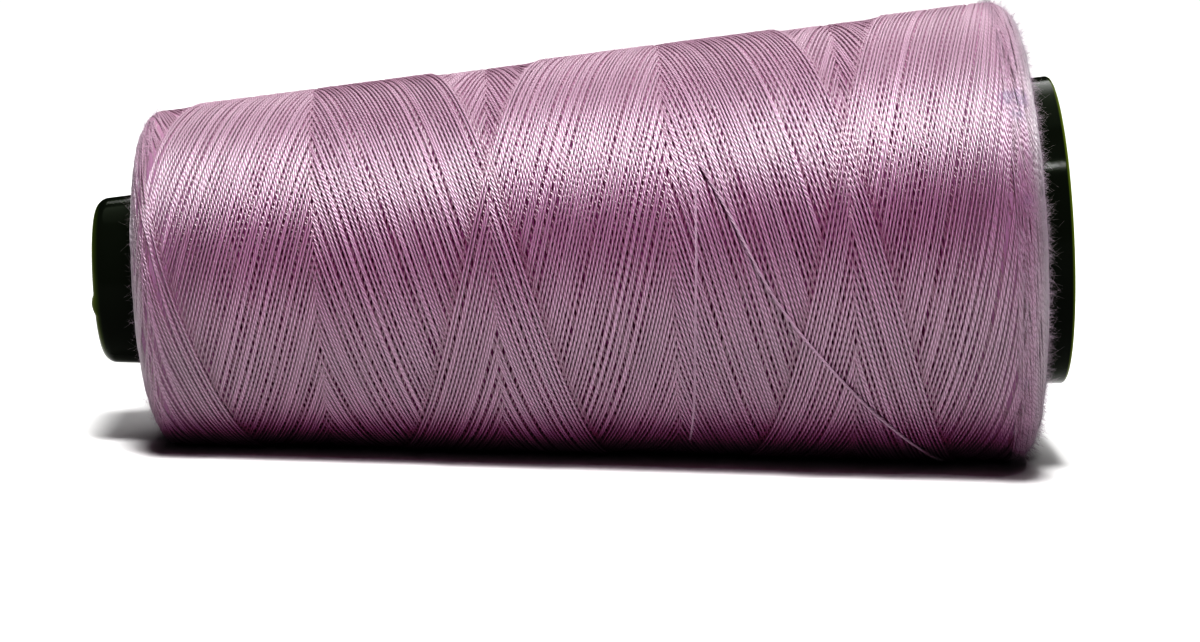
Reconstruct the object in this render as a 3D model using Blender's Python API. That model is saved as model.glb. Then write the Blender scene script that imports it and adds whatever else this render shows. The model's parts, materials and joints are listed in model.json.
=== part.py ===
"""Cone of thread, lying on its side.

A cross-wound thread package on a tapered plastic tube, with one loose strand across the winding.
Metres, +Z up. The small end points to -X, the front is -Y. The cone lies on its lowest line,
which a small flat spot keeps level, so the tube's axis rises to +X by half the cone's angle.

Every shape is drawn in the cone's own axes and hung on one empty: local X runs along the tube
from its small end, local -Y is the front and local Z is up, square to the axis.
"""

import math

import bmesh
import bpy
from mathutils import Matrix, Vector

# The tube
TAPER = math.radians(4 + 20 / 60)
TUBE_LENGTH = 0.115
NOSE_RADIUS = 0.0098
WALL = 0.0018
NOSE_EASE = 0.0017
BASE_EASE = 0.0004

# The winding
GAP = 0.0003
WINDING_START = 0.0052
WINDING_END = 0.1109
LAYER = 0.0095
SMALL_DOME = 0.0033
BASE_SHOULDER = 0.0037
BASE_FACE_LEAN = 0.0005
FLAT_DEPTH = 0.0004

# The crossing bands: the lead of one turn, and where the newest thread of each hand lies, in turns
LEAD = 0.0410
NEWEST_FALLING = 0.262
NEWEST_RISING = -0.062
BAND_HEIGHT = 0.0003
BAND_STEP = 0.08

# The loose strand
STRAND_DIAMETER = 0.00042
STRAND_CLEARANCE = 0.0004
STRAND_POINTS = 56
STRAND_ROUTE = (
    # along the cone in mm, degrees round it above the front
    (71.8, 30),
    (73.1, 24),
    (74.4, 18),
    (75.6, 12),
    (76.8, 6),
    (78.0, 0),
    (79.4, -6),
    (81.0, -12),
    (82.9, -18),
    (84.9, -24),
    (86.9, -30),
    (88.9, -36),
    (90.9, -42),
    (92.9, -48),
    (94.8, -54),
    (96.6, -60),
    (98.2, -66),
    (99.4, -70),
)

# Fineness
TUBE_SIDES = 64
WINDING_SIDES = 90
WALL_RINGS = 38
CURVE_STEPS = 5


def tube_radius(along):
    """The tube's outer radius."""
    return NOSE_RADIUS + along * math.tan(TAPER)


def winding_radius(along):
    """The winding's mean radius between its shoulders."""
    return tube_radius(along) + LAYER


def principled(name, colour, roughness):
    material = bpy.data.materials.new(name)
    material.use_nodes = True
    shader = material.node_tree.nodes["Principled BSDF"]
    shader.inputs["Base Color"].default_value = (*colour, 1.0)
    shader.inputs["Roughness"].default_value = roughness
    return material


def quarter(centre, axial, radial, first, last):
    """Points of an elliptic arc about a centre (along, radius); 0 degrees is outward, 90 along +X."""
    points = []
    for step in range(CURVE_STEPS + 1):
        angle = math.radians(first + (last - first) * step / CURVE_STEPS)
        points.append((centre[0] + axial * math.sin(angle), centre[1] + radial * math.cos(angle)))
    return points


def turned(name, outline, sides):
    """A closed outline of (along, radius) points, spun once round the cone's axis."""
    mesh = bmesh.new()
    ring = [mesh.verts.new((along, 0, radius)) for along, radius in outline]
    edges = [mesh.edges.new((ring[i - 1], ring[i])) for i in range(len(ring))]
    bmesh.ops.spin(
        mesh,
        geom=ring + edges,
        cent=(0, 0, 0),
        axis=(1, 0, 0),
        angle=math.tau,
        steps=sides,
        use_merge=True,
        use_normal_flip=False,
    )
    bmesh.ops.remove_doubles(mesh, verts=mesh.verts, dist=1e-6)
    bmesh.ops.recalc_face_normals(mesh, faces=mesh.faces)
    data = bpy.data.meshes.new(name)
    mesh.to_mesh(data)
    mesh.free()
    return data


def tube_outline():
    """The tube's wall, from the inner nose edge round to the base and back through the bore."""
    nose = quarter((NOSE_EASE, NOSE_RADIUS + (NOSE_EASE * math.tan(TAPER)) - NOSE_EASE),
                   NOSE_EASE, NOSE_EASE, -90, 0)
    base_radius = tube_radius(TUBE_LENGTH)
    base = [
        (TUBE_LENGTH - BASE_EASE, base_radius),
        (TUBE_LENGTH, base_radius - BASE_EASE),
        (TUBE_LENGTH, base_radius - WALL + BASE_EASE),
        (TUBE_LENGTH - BASE_EASE, base_radius - WALL),
    ]
    return nose + base + [(0, NOSE_RADIUS - WALL)]


def winding_outline():
    """The wound form: a domed small end, a long tapered wall, a rounded shoulder and a base face."""
    wall_start = WINDING_START + SMALL_DOME
    wall_end = WINDING_END - BASE_SHOULDER
    bore_start = tube_radius(WINDING_START) + GAP
    bore_end = tube_radius(WINDING_END) + GAP
    dome = quarter((wall_start, bore_start), SMALL_DOME, winding_radius(wall_start) - bore_start, -90, 0)
    wall = []
    for step in range(1, WALL_RINGS):
        along = wall_start + (wall_end - wall_start) * step / WALL_RINGS
        wall.append((along, winding_radius(along)))
    shoulder = quarter((wall_end, winding_radius(wall_end) - BASE_SHOULDER),
                       BASE_SHOULDER - BASE_FACE_LEAN, BASE_SHOULDER, 0, 90)
    face_middle = (WINDING_END - BASE_FACE_LEAN / 3, (shoulder[-1][1] + bore_end) / 2)
    return dome + wall + shoulder + [face_middle, (WINDING_END, bore_end)]


def band(age):
    """Height of a band from 0 to 1: 1 at its newest thread, then slowly down, then the step up."""
    age %= 1.0
    if age < 1 - BAND_STEP:
        return 1 - age / (1 - BAND_STEP)
    return (age - (1 - BAND_STEP)) / BAND_STEP


def band_relief(along, turn):
    """How far the crossing bands stand above the mean wall at a place, turn in whole turns."""
    falling = band(NEWEST_FALLING - turn - along / LEAD)
    rising = band(NEWEST_RISING - turn + along / LEAD)
    return BAND_HEIGHT * (falling + rising - 1)


def wall_share(along):
    """1 along the wall, falling to 0 over each shoulder."""
    small_end = (along - WINDING_START) / SMALL_DOME
    base_end = (WINDING_END - along) / BASE_SHOULDER
    return max(0.0, min(1.0, small_end, base_end))


def raise_bands(data):
    """Moves the wall's points out by the bands, then presses the flat spot into the lowest line."""
    for vertex in data.vertices:
        along, back, up = vertex.co
        radius = math.hypot(back, up)
        if radius > tube_radius(along) + 3 * GAP:
            turn = math.atan2(up, -back) / math.tau
            grown = radius + band_relief(along, turn) * wall_share(along)
            back *= grown / radius
            up *= grown / radius
        floor = FLAT_DEPTH / math.cos(TAPER) - winding_radius(along)
        vertex.co = (along, back, max(up, floor))


def smooth_points(route, count):
    """Places read evenly from one Catmull-Rom curve through the route's points."""
    route = [Vector(point) for point in route]
    ends = [2 * route[0] - route[1], *route, 2 * route[-1] - route[-2]]
    spans = len(route) - 1
    points = []
    for step in range(count):
        place = spans * step / (count - 1)
        span = min(int(place), spans - 1)
        t = place - span
        a, b, c, d = ends[span:span + 4]
        points.append(0.5 * (2 * b + (c - a) * t + (2 * a - 5 * b + 4 * c - d) * t * t
                             + (3 * b - a - 3 * c + d) * t ** 3))
    return points


def strand_points():
    """The strand's middle line, which rides over the bands just clear of them."""
    for along, degrees in smooth_points(STRAND_ROUTE, STRAND_POINTS):
        along /= 1000
        angle = math.radians(degrees)
        surface = winding_radius(along) + band_relief(along, angle / math.tau)
        radius = surface + STRAND_CLEARANCE + STRAND_DIAMETER / 2
        yield along, -radius * math.cos(angle), radius * math.sin(angle)


def make_strand():
    points = list(strand_points())
    curve = bpy.data.curves.new("loose_end", "CURVE")
    curve.dimensions = "3D"
    curve.bevel_depth = STRAND_DIAMETER / 2
    curve.bevel_resolution = 2
    curve.use_fill_caps = True
    spline = curve.splines.new("POLY")
    spline.points.add(len(points) - 1)
    for point, place in zip(spline.points, points):
        point.co = (*place, 1)
    return curve


def cone_axes():
    """The empty that lays the cone down: centred on X, its lowest line pressed flat on the floor."""
    low_end = -(NOSE_RADIUS - NOSE_EASE) * math.sin(TAPER)
    high_end = (TUBE_LENGTH * math.cos(TAPER)
                + (tube_radius(TUBE_LENGTH) - BASE_EASE) * math.sin(TAPER))
    empty = bpy.data.objects.new("cone_axes", None)
    height = winding_radius(0) * math.cos(TAPER) - FLAT_DEPTH
    empty.matrix_world = (Matrix.Translation((-(low_end + high_end) / 2, 0, height))
                          @ Matrix.Rotation(-TAPER, 4, "Y"))
    bpy.context.scene.collection.objects.link(empty)
    return empty


def add_piece(name, data, material, axes):
    piece = bpy.data.objects.new(name, data)
    data.materials.append(material)
    piece.parent = axes
    bpy.context.scene.collection.objects.link(piece)
    return piece


def main():
    for old in list(bpy.data.objects):
        bpy.data.objects.remove(old)
    axes = cone_axes()

    tube = turned("tube", tube_outline(), TUBE_SIDES)
    add_piece("tube", tube, principled("dark_green_plastic", (0.008, 0.011, 0.006), 0.35), axes)

    winding = turned("thread_body", winding_outline(), WINDING_SIDES)
    raise_bands(winding)
    add_piece("thread_body", winding, principled("mauve_thread", (0.40, 0.21, 0.31), 0.45), axes)

    for data in (tube, winding):
        data.shade_smooth()
        data.set_sharp_from_angle(angle=math.radians(35))

    strand = make_strand()
    add_piece("loose_end", strand, principled("mauve_strand", (0.42, 0.24, 0.33), 0.45), axes)


main()
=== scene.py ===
# %% [markdown]
# # A cone of thread
# A thread cone is one long three-ply thread, wound to and fro on a tapered plastic tube while the
# tube turns. The winding is what the eye reads: fine lustrous turns that lean one way, then the
# other, and cross in bands. Here each visible turn is a real tube of thread, so its shine, its gaps
# and its crossings come from geometry. Shade is also painted into the gaps and a sheen onto the upper
# side, and the ply twist inside a thread is colour and bump.

# %% The frame
import json
import math

import bmesh
import bpy
import numpy as np
from mathutils import Matrix, Vector


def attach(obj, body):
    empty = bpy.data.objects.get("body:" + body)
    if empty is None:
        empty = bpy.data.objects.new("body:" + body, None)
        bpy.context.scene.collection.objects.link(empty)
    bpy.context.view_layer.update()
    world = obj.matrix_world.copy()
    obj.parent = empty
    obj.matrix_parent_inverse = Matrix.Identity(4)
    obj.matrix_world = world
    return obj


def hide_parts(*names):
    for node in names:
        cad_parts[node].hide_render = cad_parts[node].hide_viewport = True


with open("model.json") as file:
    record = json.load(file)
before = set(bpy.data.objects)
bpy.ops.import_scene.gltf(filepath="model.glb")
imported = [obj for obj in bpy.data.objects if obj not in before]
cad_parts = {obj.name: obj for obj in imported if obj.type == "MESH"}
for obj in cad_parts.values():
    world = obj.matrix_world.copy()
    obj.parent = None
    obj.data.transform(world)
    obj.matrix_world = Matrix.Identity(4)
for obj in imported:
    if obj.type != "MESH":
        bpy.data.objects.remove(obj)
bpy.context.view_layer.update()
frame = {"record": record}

# %% [markdown]
# The cone lies on its side, so nothing on it is square to the room. Every shape is therefore drawn
# in the cone's own axes, along the tube, round it and out from it, and turned into the room once,
# at the end. The flat rim at the wide end of the tube gives those axes, because the frame states
# its middle and its direction.

# %% Sizes of the cone
MM = 0.001
TUBE_LENGTH = 115 * MM
NOSE_RADIUS = 9.8 * MM
WALL = 1.8 * MM
NOSE_EASE = 1.7 * MM
LAYER = 9.5 * MM
WINDING_START = 5.2 * MM
WINDING_END = 110.9 * MM
SMALL_DOME = 3.3 * MM
BASE_SHOULDER = 3.7 * MM
BASE_FACE_LEAN = 0.5 * MM
BASE_BULGE = 0.8 * MM
FLAT_DEPTH = 0.4 * MM

rim = next(mount for mount in frame["record"]["mounts"] if mount["name"] == "base_rim")
AXIS = Vector(rim["axis"]).normalized()
UP = Vector((-AXIS.z, 0, AXIS.x))
TAPER = math.asin(AXIS.z)
SLOPE = math.tan(TAPER)


def tube_radius(along):
    return NOSE_RADIUS + SLOPE * along


def winding_radius(along):
    return tube_radius(along) + LAYER


def floor_height(along):
    """How high the surface that the cone lies on is here, measured up from the tube's axis."""
    return FLAT_DEPTH / math.cos(TAPER) - winding_radius(along)


NOSE_MIDDLE = Vector(rim["pos_m"]) - AXIS * TUBE_LENGTH - UP * (tube_radius(TUBE_LENGTH) - WALL / 2)
CONE_TO_ROOM = Matrix.Translation(NOSE_MIDDLE) @ Matrix.Rotation(-TAPER, 4, "Y")
print("half angle of the cone:", round(math.degrees(TAPER), 2), "degrees")

# %% [markdown]
# ## The camera
# The view is almost level, from the front, through a long lens, and it leans a little to the right.
# The lens and the distance give the ends of the tube their slight curve.

# %% Camera
LENS_MM = 117
SENSOR_MM = 36
CAMERA_DISTANCE = 0.4707
CAMERA_TURN = math.radians(1.06)
CAMERA_RISE = math.radians(8.0)
CAMERA_LEAN = math.radians(1.37)
CAMERA_TARGET = Vector((2.45 * MM, 0, 15.26 * MM))


def make_camera():
    data = bpy.data.cameras.new("camera")
    data.sensor_width = SENSOR_MM
    data.lens = LENS_MM
    camera = bpy.data.objects.new("camera", data)
    bpy.context.scene.collection.objects.link(camera)
    facing = Matrix.Rotation(-CAMERA_TURN, 4, "Z") @ Matrix.Rotation(math.pi / 2 - CAMERA_RISE, 4, "X")
    back = facing @ Vector((0, 0, CAMERA_DISTANCE))
    camera.matrix_world = (Matrix.Translation(CAMERA_TARGET + back) @ facing
                           @ Matrix.Rotation(CAMERA_LEAN, 4, "Z"))
    bpy.context.scene.camera = camera


make_camera()
print(f"camera: {LENS_MM} mm lens, {CAMERA_DISTANCE} m away")

# %% [markdown]
# ## Small helpers
# One function adds any node with its settings and links, by way of a smaller one that also fills in
# the materials' shaders. Another reads a table of arithmetic, one line for each Math node, so that a
# long rule such as the path of a thread stays readable. Colours are written as sRGB hex, as a colour
# picker shows them, turned linear for the shaders, and laid over one another by masks. Most patterns
# start at one of the cone's ends, so a last one measures from the middle of the small end.

# %% Helpers for nodes, colours and pieces
def fill(tree, node, inputs):
    """Sets a node's inputs, with a link where the value is another node's socket."""
    for key, value in inputs.items():
        if isinstance(value, bpy.types.NodeSocket):
            tree.links.new(value, node.inputs[key])
        else:
            node.inputs[key].default_value = value


def add(tree, kind, inputs=None, **settings):
    """Adds a node, sets its properties, and fills or links its inputs."""
    node = tree.nodes.new(kind)
    for name, value in settings.items():
        setattr(node, name, value)
    fill(tree, node, inputs or {})
    return node


def arithmetic(tree, known, steps):
    """Adds a Math node for each (name, operation, terms...); a term is a number or an earlier name."""
    for name, operation, *terms in steps:
        inputs = {i: known[term] if isinstance(term, str) else term for i, term in enumerate(terms)}
        known[name] = add(tree, "ShaderNodeMath", inputs, operation=operation).outputs[0]
    return known


def linear(hex_colour):
    """A six-digit sRGB hex colour as linear RGBA."""
    parts = [int(hex_colour[i:i + 2], 16) / 255 for i in (0, 2, 4)]
    parts = [p / 12.92 if p <= 0.04045 else ((p + 0.055) / 1.055) ** 2.4 for p in parts]
    return (*parts, 1.0)


def from_nose(tree, direction):
    """How far each point is from the middle of the tube's small end, in this direction."""
    coordinates = add(tree, "ShaderNodeTexCoord").outputs["Object"]
    away = add(tree, "ShaderNodeVectorMath", {0: coordinates, 1: NOSE_MIDDLE}, operation="SUBTRACT")
    return add(tree, "ShaderNodeVectorMath", {0: away.outputs[0], 1: direction},
               operation="DOT_PRODUCT").outputs["Value"]


def layered(tree, colour, layers):
    """This colour after each (mask, hex colour) has been laid over it in turn."""
    for mask, laid_over in layers:
        mixed = add(tree, "ShaderNodeMix", {"Factor": mask, "A": colour, "B": linear(laid_over)},
                    data_type="RGBA")
        colour = mixed.outputs["Result"]
    return colour


def new_material(name):
    material = bpy.data.materials.new(name)
    material.use_nodes = True
    return material, material.node_tree, material.node_tree.nodes["Principled BSDF"]


def link_piece(name, data, material):
    """A finished mesh as a piece of the cone: turned into the room, riding on its only body."""
    data.name = name
    data.transform(CONE_TO_ROOM)
    data.materials.clear()
    data.materials.append(material)
    piece = bpy.data.objects.new(name, data)
    bpy.context.scene.collection.objects.link(piece)
    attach(piece, "root")
    print(f"{name}: {sum(len(p.vertices) - 2 for p in data.polygons)} triangles")
    return piece


# %% [markdown]
# ## What light and hands do to thread
# One even colour would look like plastic. The cone's upper side gets a painted sheen, paler and
# greyer, for the veil that grazing light lays on its turns. The winding is darker a little way in
# from both ends, both ends are rubbed dull and grey at the very edge, and a few dark spots sit near
# the wide end. An image could be painted for each. A mask that is worked out from a point's place on
# the cone needs no image, and it runs on from one piece to the next without a seam.

# %% Painted sheen, rubbed ends and stains
# painted sheen: the upper side is made paler and greyer, as grazing light makes it look
TOP_SHEEN_COLOUR = "AF8FA0"
TOP_SHEEN_SHARE = 0.85
TOP_SHEEN_FROM = 0.66
RUBBED_COLOUR = "9C8E98"
RUBBED_REACH = 2 * MM
STAIN_COLOUR = "68366F"
BLOTS_PER_MM = 1.4
STAINS = (
    # along the cone in mm, degrees round it above the front, radius in mm, strength
    (109.1, 41.2, 1.6, 2.0),
    (107.4, 41.0, 1.3, 2.0),
    (108.5, 36.5, 1.3, 1.2),
    (108.6, 14.4, 1.2, 0.4),
    (108.2, -32.3, 1.4, 0.35),
)


def top_sheen_mask(tree):
    """How much painted sheen each point gets: 0 up to a set share of the wall's radius, most at the top."""
    known = {"along": from_nose(tree, AXIS), "up": from_nose(tree, UP)}
    arithmetic(tree, known, (
        ("wall", "MULTIPLY_ADD", "along", SLOPE, winding_radius(0)),
        ("height", "DIVIDE", "up", "wall"),
    ))
    return add(tree, "ShaderNodeMapRange", {"Value": known["height"], "From Min": TOP_SHEEN_FROM,
                                            "From Max": 1.0, "To Max": TOP_SHEEN_SHARE}).outputs[0]


def near_ends_mask(tree, reach):
    """How near the winding's ends each point is: 0 this far in from them, and 1 at the ends."""
    along = from_nose(tree, AXIS)
    base = add(tree, "ShaderNodeMapRange", {"Value": along, "From Min": WINDING_END - reach,
                                            "From Max": WINDING_END})
    small = add(tree, "ShaderNodeMapRange", {"Value": along, "From Min": WINDING_START,
                                             "From Max": WINDING_START + reach, "To Min": 1.0,
                                             "To Max": 0.0})
    return add(tree, "ShaderNodeMath", {0: base.outputs[0], 1: small.outputs[0]},
               operation="MAXIMUM").outputs[0]


def surface_place(along, degrees):
    """The room's coordinates of a place on the winding."""
    angle = math.radians(degrees)
    radius = winding_radius(along * MM)
    return CONE_TO_ROOM @ Vector((along * MM, -radius * math.cos(angle), radius * math.sin(angle)))


def stain_mask(tree):
    """How stained each point is: a few soft spots near the wide end, broken up by noise."""
    coordinates = add(tree, "ShaderNodeTexCoord").outputs["Object"]
    mask = 0.0
    for along, degrees, radius, strength in STAINS:
        away = add(tree, "ShaderNodeVectorMath", {0: coordinates, 1: surface_place(along, degrees)},
                   operation="DISTANCE")
        spot = add(tree, "ShaderNodeMapRange", {"Value": away.outputs["Value"], "From Max": radius * MM,
                                                "To Min": strength, "To Max": 0.0})
        mask = add(tree, "ShaderNodeMath", {0: spot.outputs[0], 1: mask}, operation="MAXIMUM").outputs[0]
    blot = add(tree, "ShaderNodeTexNoise", {"Vector": coordinates, "Scale": BLOTS_PER_MM / MM,
                                            "Detail": 2.0})
    broken = add(tree, "ShaderNodeMapRange", {"Value": blot.outputs[0], "From Min": 0.3, "From Max": 0.5})
    return add(tree, "ShaderNodeMath", {0: mask, 1: broken.outputs[0]}, operation="MULTIPLY").outputs[0]


print("stains near the wide end:", len(STAINS))

# %% [markdown]
# ## The thread's material
# The real thread is filament viscose, three plies twisted together. It has no fuzz of its own, so it
# is glossy, and because all its filaments run one way, the shine is narrow along the thread and wide
# across it. That is what Anisotropic gives, set by the thread's UV map and turned by a quarter. Each
# thread then carries a bright line, broken into short dashes by the twist. A thread shines from many
# filament surfaces at once, and an IOR above viscose's own 1.5 stands in for them.
#
# The grooves between the plies, and the sides of a thread that face inwards, get a painted shade,
# deeper and redder, because light that gets in there meets dyed fibre several times. Real plies on
# every turn would show this too, with many times the faces, so here the twist is a colour and a
# bump. Which side faces inwards is kept in an attribute, crown, that each thread gets once it is
# wound.

# %% The twist of the plies
THREAD = 0.37 * MM
PLIES = 3
TWIST = 2.3 * MM
TWIST_DRIFT = 2.0
CREST_POWER = 0.7
STREAK = 14 * MM
ROW_JUMP = 3.7
ROW_MARGIN = 0.06


def ply_pattern(tree, rows, length):
    """Each point's ply: 0 in a groove, 1 on its crest. The UV map has a row for each thread."""
    uv = add(tree, "ShaderNodeUVMap", uv_map="OFBake")
    split = add(tree, "ShaderNodeSeparateXYZ", {0: uv.outputs[0]})
    known = arithmetic(tree, {"u": split.outputs[0], "v": split.outputs[1]}, (
        ("row", "MULTIPLY", "v", rows),
        ("number", "FLOOR", "row"),
        ("within", "FRACT", "row"),
        ("round", "DIVIDE", "within", 1 - 2 * ROW_MARGIN),
        ("shift", "MULTIPLY", "number", ROW_JUMP),
        ("streak", "MULTIPLY", "u", length / STREAK),
    ))
    place = add(tree, "ShaderNodeCombineXYZ", {0: known["streak"], 1: known["shift"]})
    known["uneven"] = add(tree, "ShaderNodeTexNoise", {"Vector": place.outputs[0], "Scale": 1.0,
                                                       "Detail": 2.0}).outputs[0]
    known["own start"] = add(tree, "ShaderNodeTexWhiteNoise", {"W": known["number"]},
                             noise_dimensions="1D").outputs["Value"]
    return arithmetic(tree, known, (
        ("twisted a", "MULTIPLY_ADD", "u", length / TWIST, "round"),
        ("twisted b", "ADD", "twisted a", "own start"),
        ("phase", "MULTIPLY_ADD", "uneven", TWIST_DRIFT, "twisted b"),
        ("angle", "MULTIPLY", "phase", math.pi * PLIES),
        ("wave", "COSINE", "angle"),
        ("ply", "ABSOLUTE", "wave"),
        ("crest", "POWER", "ply", CREST_POWER),
    ))


print(f"{PLIES} plies: one crest every {TWIST / PLIES / MM:.2f} mm")

# %% Thread material
THREAD_COLOUR = "CC99C0"
GROOVE_SHADE_COLOUR = "6C084A"
# how high on a ply the painted shade of its groove ends
GROOVE_SHADE_TOP = 0.75
# between these crown values a side goes from painted shade to the thread's own colour
CROWN_LOW = 0.45
CROWN_HIGH = 1.0
# a noise seldom leaves this range
NOISE_LOW = 0.3
NOISE_HIGH = 0.7
DYE_LOW = 0.90
DYE_HIGH = 1.08
# the winding is made darker towards both ends, over this reach and to this tone
ENDS_DARKER_REACH = 14 * MM
ENDS_DARKER_TONE = 0.76
THREAD_ROUGHNESS = 0.58
GROOVE_ROUGHNESS = 0.7
# and how high its roughness ends
ROUGH_TOP = 0.7
DULLED_REACH = 6 * MM
DULLED_BY = 0.15
ANISOTROPY = 0.90
QUARTER_TURN = 0.25
THREAD_IOR = 2.3
THREAD_SPECULAR = 1.0
PLY_RELIEF = 0.07 * MM


def thread_colour(tree, known):
    """Dyed viscose: painted shade in grooves, uneven, darker at both ends, painted sheen on top, worn."""
    depth = add(tree, "ShaderNodeMapRange", {"Value": known["ply"], "From Max": GROOVE_SHADE_TOP})
    crown = add(tree, "ShaderNodeAttribute", attribute_name="crown")
    side = add(tree, "ShaderNodeMapRange", {"Value": crown.outputs["Fac"], "From Min": CROWN_LOW,
                                            "From Max": CROWN_HIGH})
    lit = add(tree, "ShaderNodeMath", {0: depth.outputs[0], 1: side.outputs[0]}, operation="MULTIPLY")
    # painted shade in the ply grooves and on the inward and sunk sides
    body = layered(tree, linear(GROOVE_SHADE_COLOUR), ((lit.outputs[0], THREAD_COLOUR),))
    dye = add(tree, "ShaderNodeMapRange", {"Value": known["uneven"], "From Min": NOISE_LOW,
                                           "From Max": NOISE_HIGH, "To Min": DYE_LOW, "To Max": DYE_HIGH})
    # darker towards both ends
    ends_darker = add(tree, "ShaderNodeMapRange", {"Value": near_ends_mask(tree, ENDS_DARKER_REACH), "To Min": 1.0,
                                              "To Max": ENDS_DARKER_TONE})
    tint = add(tree, "ShaderNodeMath", {0: dye.outputs[0], 1: ends_darker.outputs[0]}, operation="MULTIPLY")
    tinted = add(tree, "ShaderNodeVectorMath", {0: body, 1: tint.outputs[0]},
                 operation="MULTIPLY")
    return layered(tree, tinted.outputs[0], (
        # painted sheen on the upper side
        (top_sheen_mask(tree), TOP_SHEEN_COLOUR),
        (near_ends_mask(tree, RUBBED_REACH), RUBBED_COLOUR),
        (stain_mask(tree), STAIN_COLOUR),
    ))


def twisted_thread(name, rows, length):
    """Viscose thread: anisotropic and glossy, and duller in its grooves and near both ends."""
    material, tree, shader = new_material(name)
    known = ply_pattern(tree, rows, length)
    rough = add(tree, "ShaderNodeMapRange", {"Value": known["ply"], "From Max": ROUGH_TOP,
                                             "To Min": GROOVE_ROUGHNESS, "To Max": THREAD_ROUGHNESS})
    dulled = add(tree, "ShaderNodeMath", {0: near_ends_mask(tree, DULLED_REACH), 1: DULLED_BY,
                                          2: rough.outputs[0]}, operation="MULTIPLY_ADD")
    bump = add(tree, "ShaderNodeBump", {"Height": known["crest"], "Strength": 1.0, "Distance": PLY_RELIEF})
    along_thread = add(tree, "ShaderNodeTangent", direction_type="UV_MAP", uv_map="OFBake")
    fill(tree, shader, {
        "Base Color": thread_colour(tree, known), "Roughness": dulled.outputs[0],
        "Normal": bump.outputs[0], "Tangent": along_thread.outputs[0], "Anisotropic": ANISOTROPY,
        "Anisotropic Rotation": QUARTER_TURN, "IOR": THREAD_IOR, "Specular IOR Level": THREAD_SPECULAR,
    })
    return material


print("thread colour, linear:", [round(part, 3) for part in linear(THREAD_COLOUR)])

# %% [markdown]
# ## How a cone is wound
# The winder lays the thread down in strokes, to the wide end and back, and each stroke starts a
# little further round than the last. One turn advances by the lead. Once the strokes have gone all
# the way round, they have covered the cone, and a new cover starts on top. So at any place the
# latest thread of each hand has an age between 0, just laid, and 1, a whole cover ago, and the
# younger hand lies on top. That rule alone draws the chevrons and the long edges of the real cone.

# %% Rule of the winding
LEAD = 41.0 * MM
NEWEST_FALLING = 0.262
NEWEST_RISING = -0.062
STROKES = 92
BAND_HEIGHT = 0.30 * MM
BAND_STEP = 0.03


def band(age):
    """Height of one hand's band from 0 to 1, highest at its newest thread."""
    age = age % 1.0
    return np.maximum(1 - age / (1 - BAND_STEP), 1 + (age - 1) / BAND_STEP)


def band_relief(along, turn):
    """How far both hands' bands stand above the mean wall."""
    falling = band(NEWEST_FALLING - turn - along / LEAD)
    rising = band(NEWEST_RISING - turn + along / LEAD)
    return BAND_HEIGHT * (falling + rising - 1)


print(f"turns of one stroke: {(WINDING_END - WINDING_START) / LEAD:.2f}")

# %% [markdown]
# ## The turns, by Geometry Nodes
# A stroke starts as a straight line of points. The nodes copy it once for each stroke and bend every
# copy round the cone by the rule above. Near an end the traverse slows down, stops and turns back,
# which is why the threads there run almost square to the tube. A thread that passes under the other
# hand sinks by almost half of its thickness. Small random shifts keep the gaps uneven, as on the real
# cone.

# %% What every tree starts and ends with
def new_tree(name, numbers, counts):
    """An empty geometry tree with named number inputs, and a geometry output."""
    tree = bpy.data.node_groups.new(name, "GeometryNodeTree")
    for title in counts:
        tree.interface.new_socket(title, in_out="INPUT", socket_type="NodeSocketInt")
    for title in numbers:
        tree.interface.new_socket(title, in_out="INPUT", socket_type="NodeSocketFloat")
    tree.interface.new_socket("Material", in_out="INPUT", socket_type="NodeSocketMaterial")
    tree.interface.new_socket("Geometry", in_out="OUTPUT", socket_type="NodeSocketGeometry")
    entry = add(tree, "NodeGroupInput")
    known = {socket.name: socket for socket in entry.outputs if socket.name}
    return tree, known


def copied_lines(tree, known, copies, points):
    """Straight lines of points, one for each copy; notes each point's share and each copy's number."""
    line = add(tree, "GeometryNodeCurvePrimitiveLine")
    fine = add(tree, "GeometryNodeResampleCurve", {"Curve": line.outputs[0], "Count": known[points]})
    many = add(tree, "GeometryNodeDuplicateElements", {"Geometry": fine.outputs[0],
                                                       "Amount": known[copies]}, domain="SPLINE")
    known["share"] = add(tree, "GeometryNodeSplineParameter").outputs["Factor"]
    known["number"] = many.outputs["Duplicate Index"]
    return many.outputs["Geometry"]


def chances(tree, known, rows):
    """A random number for each copy, from every (name, lowest, highest, seed)."""
    for name, low, high, seed in rows:
        node = add(tree, "FunctionNodeRandomValue", {"Min": low, "Max": high, "ID": known["number"],
                                                     "Seed": seed}, data_type="FLOAT")
        known[name] = next(out for out in node.outputs if out.enabled and out.type == "VALUE")


def swept(tree, known, lines, sides, thickness):
    """Moves the lines' points to their along, back and up, and sweeps a round thread along them."""
    place = add(tree, "ShaderNodeCombineXYZ", {0: known["along"], 1: known["back"], 2: known["up"]})
    moved = add(tree, "GeometryNodeSetPosition", {"Geometry": lines, "Position": place.outputs[0]})
    circle = add(tree, "GeometryNodeCurvePrimitiveCircle", {"Resolution": sides, "Radius": thickness})
    tube = add(tree, "GeometryNodeCurveToMesh", {"Curve": moved.outputs[0],
                                                 "Profile Curve": circle.outputs[0], "Fill Caps": True})
    smooth = add(tree, "GeometryNodeSetShadeSmooth", {"Geometry": tube.outputs[0]})
    real = add(tree, "GeometryNodeRealizeInstances", {"Geometry": smooth.outputs[0]})
    dressed = add(tree, "GeometryNodeSetMaterial", {"Geometry": real.outputs[0],
                                                    "Material": known["Material"]})
    add(tree, "NodeGroupOutput", {0: dressed.outputs[0]})


# %% Along the cone
END_INSET = 0.35 * MM
TURN_SPREAD = 2.2 * MM
SMALL_SLOWING = 4.0 * MM
BASE_SLOWING = 6.5 * MM
TAIL = 3.0 * MM
TAIL_TUCK = 0.35


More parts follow.
